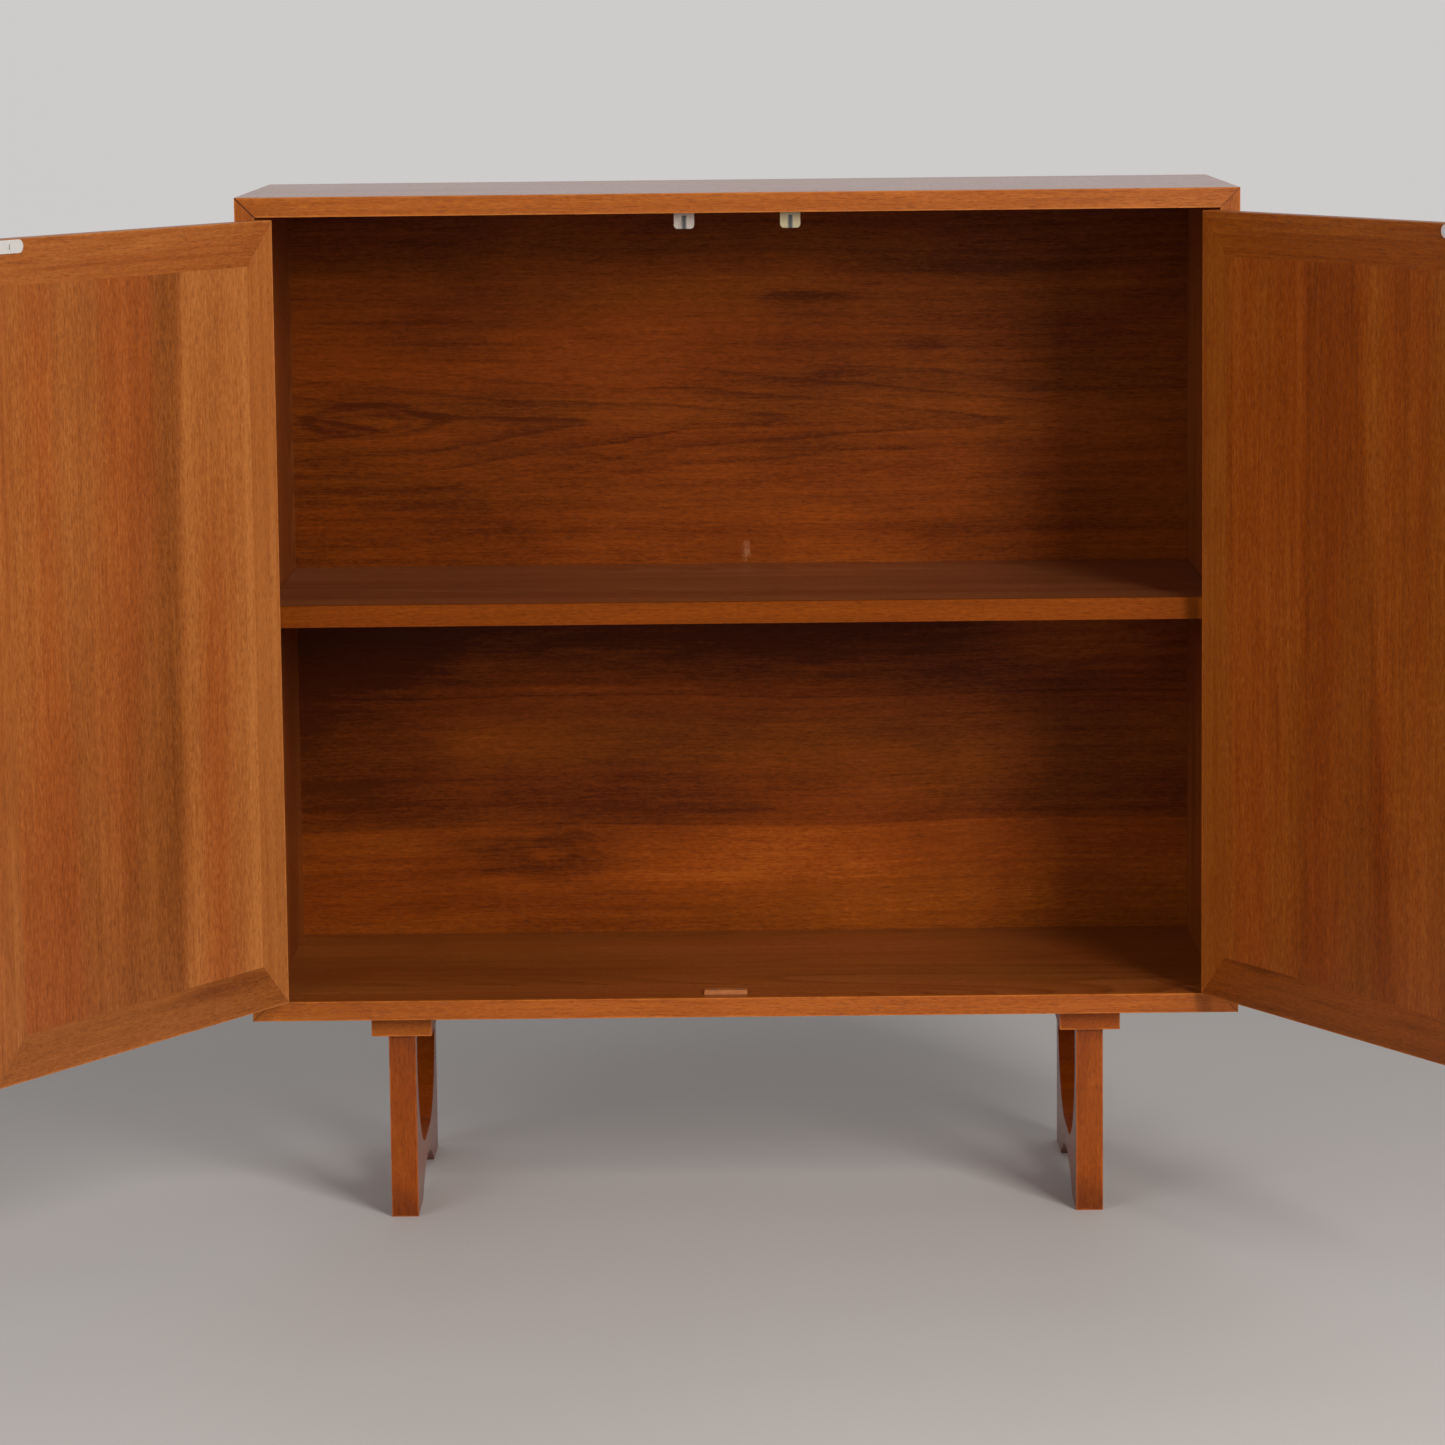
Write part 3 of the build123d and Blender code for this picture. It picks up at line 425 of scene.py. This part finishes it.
def door_outline(door):
    """Lowest and highest corners of a whole closed door."""
    boxes = [closed_box(f"{door}_door_{part}", door) for part in ("hinge_stile", "meeting_stile")]
    low = Vector([min(box[0][axis] for box in boxes) for axis in range(3)])
    high = Vector([max(box[1][axis] for box in boxes) for axis in range(3)])
    return low, high


def use(node, material, bevel=0.0, segments=2):
    """Give a CAD node its material and soften its edges."""
    obj = nodes[node]
    obj.data.materials.clear()
    obj.data.materials.append(material)
    if bevel:
        softened = obj.modifiers.new("softened_edges", "BEVEL")
        softened.width = bevel
        softened.segments = segments
        softened.limit_method = "ANGLE"
        softened.angle_limit = math.radians(40)
        softened.harden_normals = True
        softened.miter_outer = "MITER_ARC"


# the two corners at the ends of each side of a frame, as (right, top)
CORNERS = {
    "top": ((0, 1), (1, 1)),
    "bottom": ((0, 0), (1, 0)),
    "left": ((0, 0), (0, 1)),
    "right": ((1, 0), (1, 1)),
}


# how dark the joint line is at each corner, as (right, top)
CARCASS_JOINTS = {(0, 0): 0.50, (0, 1): 0.85, (1, 0): 0.45, (1, 1): 0.45}
CARCASS_JOINT_HALF_WIDTH = 0.0011
DOOR_JOINTS = dict.fromkeys(CARCASS_JOINTS, 0.24)
DOOR_JOINT_HALF_WIDTH = 0.0007


def mitres(low, high, edge, half_width, joints):
    """Seams at the two mitred corners of one side of a frame, seen from the front."""
    ends = (low, high)
    seams = []
    for right, top in CORNERS[edge]:
        point = Vector((ends[right].x, 0.0, ends[top].z))
        normal = Vector((1.0, 0.0, -1.0 if right == top else 1.0)).normalized()
        seams.append((point, normal, half_width, joints[right, top]))
    return seams


def paint_carcass():
    tones = TONES["carcass"]
    top = teak("top_teak", "XY", TONES["top"], 1, box=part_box("top_panel"), gloss=0.28, coat=0.4)
    use("top_panel", top, 0.0006)
    use("bottom_panel", teak("floor_teak", "XY", TONES["floor"], 2, gloss=0.34), 0.0004)
    use("shelf", teak("shelf_teak", "XY", TONES["shelf"], 3, gloss=0.34), 0.0004)
    for number, side in enumerate(("left", "right")):
        wood = teak(side + "_side_teak", "ZY", tones, 4 + number, box=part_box(side + "_side"))
        use(side + "_side", wood, 0.0005)
        wood = teak(side + "_side_lipping_teak", "Z", TONES["lipping"], 6 + number, figure=0.4,
                    box=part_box(side + "_side_lipping"), specular=0.25,
                    seams=mitres(CARCASS_LOW, CARCASS_HIGH, side, CARCASS_JOINT_HALF_WIDTH, CARCASS_JOINTS))
        use(side + "_side_lipping", wood, 0.0008)
    for number, edge in enumerate(("top", "bottom")):
        name = edge + "_lipping"
        wood = teak(name + "_teak", "X", TONES["lipping"], 8 + number, figure=0.4, box=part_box(name),
                    specular=0.25,
                    seams=mitres(CARCASS_LOW, CARCASS_HIGH, edge, CARCASS_JOINT_HALF_WIDTH, CARCASS_JOINTS))
        use(name, wood, 0.0008)
    wood = teak("shelf_lipping_teak", "X", TONES["shelf_front"], 10, figure=0.4, specular=0.06,
                gloss=0.5)
    use("shelf_lipping", wood, 0.0012, 3)
    paint_back()


# figure of the back panel, with painted shade under the shelf and a painted patch of light above it, as
# (centre, half size, change of tone), centres being (X, Z)
BACK_MARKS = [
    ((0.062, 0.844), (0.048, 0.0075), -0.20),
    ((-0.141, 0.806), (0.030, 0.0045), -0.12),
    ((0.094, 0.767), (0.040, 0.0040), -0.10),
    ((0.182, 0.795), (0.026, 0.0090), -0.10),
    ((-0.320, 0.822), (0.120, 0.0028), -0.14),
    ((-0.290, 0.800), (0.090, 0.0022), -0.10),
    ((-0.205, 0.292), (0.078, 0.0300), -0.24),
    ((-0.200, 0.292), (0.022, 0.0070), 0.16),
    ((-0.370, 0.294), (0.080, 0.0230), 0.12),
    ((-0.020, 0.288), (0.095, 0.0300), 0.04),
    ((-0.150, 0.458), (0.095, 0.0035), 0.12),
    ((-0.110, 0.470), (0.060, 0.0020), 0.08),
    # painted shade under the shelf: these three marks, darkest at the left and lightened at the right end
    ((-0.410, 0.510), (0.170, 0.0600), -0.38),
    ((0.010, 0.520), (0.260, 0.0500), -0.26),
    ((0.330, 0.520), (0.110, 0.0500), 0.32),
    ((-0.420, 0.400), (0.130, 0.0700), -0.14),
    # painted light: a brighter patch low in the middle of the upper bay
    ((-0.030, 0.650), (0.200, 0.0420), 0.06),
]
BACK_EYES = [((-0.362, 0.7248), (0.065, 0.0150), -0.15)]

# steps of tone on the back panel, from its lower edge up: veneer joints at 0.320 and 0.449, painted shade
# under the shelf from 0.451 to 0.570, and a darker band from 0.866 up
BACK_LEAVES_AND_SHADE_STEPS = [
    (0.320, 0.0, -0.16, 0.0008),
    (0.4492, 0.0, -0.16, 0.0008),
    # 0.451 ends the dark joint line and starts the painted shade under the shelf
    (0.4508, 0.0, 0.10, 0.0008),
    # 0.570 ends the painted shade under the shelf
    (0.570, 0.0, 0.13, 0.0050),
    # darker from 0.866 up to the top edge
    (0.866, 0.0, -0.10, 0.0080),
]
# line, wavelength, steepness, roundness, phase and end of the back panel's arches
BACK_ARCHES = (0.7195, 0.198, 11.0, 0.0055, 0.43, 0.25)


SCUFF_ASIDE = 0.005             # from the middle of the back panel
SCUFF_ABOVE_SHELF = 0.012


def paint_back():
    low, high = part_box("back_panel")
    scuff = ((low.x + high.x) / 2 + SCUFF_ASIDE, low.y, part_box("shelf")[1].z + SCUFF_ABOVE_SHELF)
    # the marks and tone steps include painted shade under the shelf and painted light above it
    wood = teak("back_teak", "X", TONES["back"], 12, figure=1.0, arches=BACK_ARCHES, stripes=0.7,
                smudges=0.8, lift=-0.11, specular=0.08, tone_steps=BACK_LEAVES_AND_SHADE_STEPS, marks=BACK_MARKS, eyes=BACK_EYES,
                face=low.y, scuff=scuff)
    use("back_panel", wood)


# strips of veneer across each door, measured from the hinge: place, lean, change of tone, half width
DOOR_STRIPS = {
    "left": [
        (0.070, 0.000, -0.02, 0.012),
        (0.153, -0.024, -0.37, 0.010),
        (0.184, -0.030, 0.08, 0.016),
        (0.238, -0.044, 0.12, 0.012),
        (0.322, -0.098, 0.06, 0.012),
    ],
    "right": [
        (0.052, 0.000, 0.05, 0.008),
        (0.110, 0.000, -0.06, 0.008),
        (0.164, 0.013, -0.17, 0.010),
        (0.277, -0.107, 0.18, 0.008),
        (0.330, -0.107, -0.05, 0.012),
    ],
}
DOOR_LIFT = {"left": 0.16, "right": 0.07}
RAIL_LIFT = {"left_top": 0.09, "left_bottom": -0.06, "right_top": 0.04, "right_bottom": -0.06}

# darker figure in the rails, as (centre, half size, change of tone), centres being (from the hinge, Z)
RAIL_MARKS = {
    "left_top": [((0.200, 0.911), (0.190, 0.0022), -0.16), ((0.030, 0.915), (0.022, 0.0040), -0.07)],
    "left_bottom": [((0.095, 0.246), (0.095, 0.0120), -0.14)],
    "right_top": [((0.210, 0.9205), (0.200, 0.0022), -0.18), ((0.180, 0.902), (0.150, 0.0016), -0.08)],
    "right_bottom": [((0.098, 0.256), (0.060, 0.0085), -0.16), ((0.330, 0.243), (0.060, 0.0040), -0.10)],
}


def paint_door(side, seed):
    tones = TONES[side + "_door"]
    prefix = side + "_door_"
    away = 1 if side == "left" else -1
    hinge_x = DOORS[side][0].x
    low, high = door_outline(side)
    middle_z = (low.z + high.z) / 2
    lift = DOOR_LIFT[side]
    strips = dict(tone_steps=DOOR_STRIPS[side], tone_steps_from=(hinge_x, away, middle_z))
    wood = teak(prefix + "panel_teak", "Z", tones, seed, door=side, figure=0.3, ring_count=22.0,
                stripes=1.0, streaks=0.35, speckles=0.75, lift=lift, specular=0.25, redden=0.85, **strips)
    use(prefix + "panel", wood)
    edges = {"hinge_stile": side, "meeting_stile": "right" if side == "left" else "left"}
    for step, (part, edge) in enumerate(edges.items()):
        wood = teak(prefix + part + "_teak", "Z", tones, seed + 1 + step, door=side, figure=0.3,
                    stripes=0.6, lift=lift - 0.02, specular=0.25, redden=0.3, box=(low, high),
                    seams=mitres(low, high, edge, DOOR_JOINT_HALF_WIDTH, DOOR_JOINTS), **strips)
        use(prefix + part, wood, 0.0002)
    for step, edge in enumerate(("top", "bottom")):
        marks = [
            ((hinge_x + away * reach, height), half, change)
            for (reach, height), half, change in RAIL_MARKS[f"{side}_{edge}"]
        ]
        wood = teak(f"{prefix}{edge}_rail_teak", "X", tones, seed + 3 + step, door=side, figure=0.3,
                    stripes=0.6, lift=RAIL_LIFT[f"{side}_{edge}"], specular=0.25, redden=0.3,
                    box=(low, high), marks=marks, face=high.y,
                    seams=mitres(low, high, edge, DOOR_JOINT_HALF_WIDTH, DOOR_JOINTS))
        use(f"{prefix}{edge}_rail", wood, 0.0002)
    wood = teak(prefix + "knob_teak", "X", TONES["leg"], seed + 5, door=side, figure=0.5, gloss=0.28,
                coat=0.5)
    use(prefix + "knob", wood)


LEG_LIFT = {"left": 0.0, "right": -0.07}
# height up to which the legs are darker towards the floor
LEG_DARKER_BELOW_HEIGHT = 0.045


def paint_legs():
    for number, (side, lift) in enumerate(LEG_LIFT.items()):
        wood = teak(side + "_leg_teak", "ZY", TONES["leg"], 40 + number, figure=0.6, gloss=0.24, coat=0.12,
                    specular=0.22, lift=lift, box=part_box(side + "_leg"), darker_below=LEG_DARKER_BELOW_HEIGHT)
        use(side + "_leg", wood, 0.0012, 3)
        # the cleats' lighter tones are painted light
        wood = teak(side + "_cleat_teak", "Y", TONES["cleat"], 42 + number, figure=0.5, specular=0.2,
                    lift=lift, box=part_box(side + "_leg_cleat"))
        use(side + "_leg_cleat", wood, 0.0012, 3)


def paint_small_wood():
    plain = teak("pale_beech", "X", TONES["beech"], 50, figure=0.2, gloss=0.5)
    use("door_stop", teak("stop_beech", "X", TONES["stop"], 51, figure=0.2, gloss=0.45, coat=0.1), 0.0003)
    for name in ("corner_tongues", "leg_dowels", "shelf_studs"):
        use(name, plain)


# ------------------------------------------------------------------ metal and plastic
def worn_metal(name, colour, tarnish, gloss, scratch=0.5, metallic=1.0):
    """Handled metal: fine scratches, patches of tarnish and uneven shine."""
    graph = Graph(name)
    place = graph.add("ShaderNodeTexCoord").outputs["Object"]
    cloud = graph.noise(place, (90.0, 90.0, 90.0), detail=4.0, rough=0.6)
    lines = graph.noise(place, (260.0, 260.0, 4200.0), detail=3.0, rough=0.6)
    patch = graph.span(cloud, 0.44, 0.68, smooth=True)
    mixed = graph.mix(graph.math("MULTIPLY", patch, 0.7), colour, tarnish)
    bright = tuple(min(1.0, v * 1.35) for v in colour)
    mixed = graph.mix(graph.math("MULTIPLY", lines, 0.2 * scratch), mixed, bright)
    rough = graph.math("MULTIPLY_ADD", patch, 0.22, gloss)
    rough = graph.math("MULTIPLY_ADD", graph.centred(lines), 0.18 * scratch, rough)
    graph.surface(mixed, rough, lines, bump=0.00004, Metallic=metallic)
    return graph.material


def moulded_plastic(name, colour, shade, gloss):
    """Old moulded plastic: slight mottling, a fine skin texture and grubby patches."""
    graph = Graph(name)
    place = graph.add("ShaderNodeTexCoord").outputs["Object"]
    cloud = graph.noise(place, (120.0, 120.0, 120.0), detail=3.0, rough=0.55)
    skin = graph.noise(place, (2400.0, 2400.0, 2400.0), detail=2.0)
    grime = graph.span(cloud, 0.5, 0.74, smooth=True)
    mixed = graph.mix(graph.math("MULTIPLY", grime, 0.6), colour, shade)
    rough = graph.math("MULTIPLY_ADD", skin, 0.16, gloss)
    graph.surface(mixed, rough, skin, bump=0.00003, Subsurface_Weight=0.08, Subsurface_Scale=0.002)
    return graph.material


def paint_hardware():
    brass = worn_metal("hinge_brass", srgb(206, 172, 98), srgb(134, 98, 48), 0.30)
    steel = worn_metal("screw_steel", srgb(186, 182, 176), srgb(112, 104, 96), 0.34)
    plate = worn_metal("strike_steel", srgb(226, 224, 220), srgb(206, 203, 198), 0.45, scratch=0.3,
                       metallic=0.25)
    pole = worn_metal("pole_steel", srgb(132, 130, 126), srgb(84, 78, 72), 0.38)
    magnet = moulded_plastic("magnet_ferrite", srgb(70, 68, 68), srgb(46, 44, 44), 0.55)
    for side in ("left", "right"):
        for part in ("side_leaves", "door_leaves", "pins", "side_screws", "door_screws"):
            use(side + "_hinge_" + part, brass)
        use(side + "_strike", plate, 0.0003)
        use(side + "_strike_screw", steel)
        use(side + "_catch_poles", pole)
        use(side + "_catch_magnet", magnet)
    for name in ("catch_screws", "leg_screws", "door_stop_screws", "back_panel_screws"):
        use(name, steel)
    grey = moulded_plastic("catch_grey", srgb(166, 154, 144), srgb(120, 107, 97), 0.32)
    cream = moulded_plastic("catch_cream", srgb(166, 152, 118), srgb(128, 110, 74), 0.32)
    use("left_catch_body", grey, 0.0006, 3)
    use("right_catch_body", cream, 0.0006, 3)


# ------------------------------------------------------------------ stage, light and camera
FLOOR_SIZE = 14.0
LIGHT_AIM = (0.0, FRONT, 0.55)
# place, size, power and colour of each light
KEY_LIGHT = ((2.1, -3.75, 2.3), (1.3, 2.4), 176.0, (1.0, 0.97, 0.93))
FILL_LIGHT = ((-2.8, -3.6, 1.9), (2.4, 2.0), 55.0, (1.0, 0.98, 0.97))
WORLD_IN_FRONT = (0.20, 0.20, 0.205, 1.0)
WORLD_BEHIND = (0.62, 0.60, 0.60, 1.0)
LENS = 130.1
CAMERA_TURN = (-0.33, 7.82, -0.63)  # yaw, downward pitch and roll in degrees
CAMERA_ASIDE = 0.0092
CAMERA_DISTANCE = 4.7674            # in front of the carcass
CAMERA_HEIGHT = 1.1268


def build_stage():
    bpy.ops.mesh.primitive_plane_add(size=FLOOR_SIZE, location=(0, 0, 0))
    floor = bpy.context.object
    floor.name = "studio_floor"
    graph = Graph("studio_floor")
    place = graph.add("ShaderNodeTexCoord").outputs["Object"]
    cloud = graph.noise(place, (0.7, 0.7, 0.7), detail=3.0)
    colour = graph.ramp(cloud, [(0.3, srgb(196, 192, 188)), (0.7, srgb(206, 203, 200))])
    graph.surface(colour, 0.62)
    floor.data.materials.append(graph.material)


def soft_light(name, place, size, power, colour):
    data = bpy.data.lights.new(name, "AREA")
    data.shape = "RECTANGLE"
    data.size, data.size_y = size
    data.energy = power
    data.color = colour
    light = bpy.data.objects.new(name, data)
    light.location = place
    light.rotation_mode = "QUATERNION"
    light.rotation_quaternion = (Vector(LIGHT_AIM) - Vector(place)).to_track_quat("-Z", "Y")
    bpy.context.scene.collection.objects.link(light)


def build_lights():
    world = bpy.data.worlds.new("studio")
    world.use_nodes = True
    tree = world.node_tree
    background = tree.nodes["Background"]
    background.inputs["Strength"].default_value = 1.0
    split = tree.nodes.new("ShaderNodeSeparateXYZ")
    tree.links.new(tree.nodes.new("ShaderNodeTexCoord").outputs["Generated"], split.inputs[0])
    ramp = tree.nodes.new("ShaderNodeValToRGB")
    tree.links.new(split.outputs[1], ramp.inputs[0])
    ramp.color_ramp.elements[0].color = WORLD_IN_FRONT
    ramp.color_ramp.elements[1].color = WORLD_BEHIND
    tree.links.new(ramp.outputs[0], background.inputs["Color"])
    bpy.context.scene.world = world
    soft_light("key", *KEY_LIGHT)
    soft_light("fill", *FILL_LIGHT)


def build_camera():
    """A long lens far in front, a little above the top, tilted down and rolled slightly."""
    camera = bpy.data.cameras.new("camera")
    camera.sensor_width = 36.0
    camera.lens = LENS
    camera.clip_end = 60.0
    obj = bpy.data.objects.new("camera", camera)
    yaw, pitch, roll = (math.radians(v) for v in CAMERA_TURN)
    forward = Vector((math.sin(yaw) * math.cos(pitch), math.cos(yaw) * math.cos(pitch), -math.sin(pitch)))
    right = Vector((math.cos(yaw), -math.sin(yaw), 0.0))
    up = right.cross(forward)
    rolled_right = right * math.cos(roll) + up * math.sin(roll)
    rolled_up = up * math.cos(roll) - right * math.sin(roll)
    turn = Matrix((rolled_right, rolled_up, -forward)).transposed()
    place = (CAMERA_ASIDE, FRONT - CAMERA_DISTANCE, CAMERA_HEIGHT)
    obj.matrix_world = Matrix.Translation(place) @ turn.to_4x4()
    bpy.context.scene.collection.objects.link(obj)
    bpy.context.scene.camera = obj


bpy.context.scene.view_settings.view_transform = "Standard"
paint_carcass()
paint_door("left", 20)
paint_door("right", 27)
paint_legs()
paint_small_wood()
paint_hardware()
build_stage()
build_lights()
build_camera()
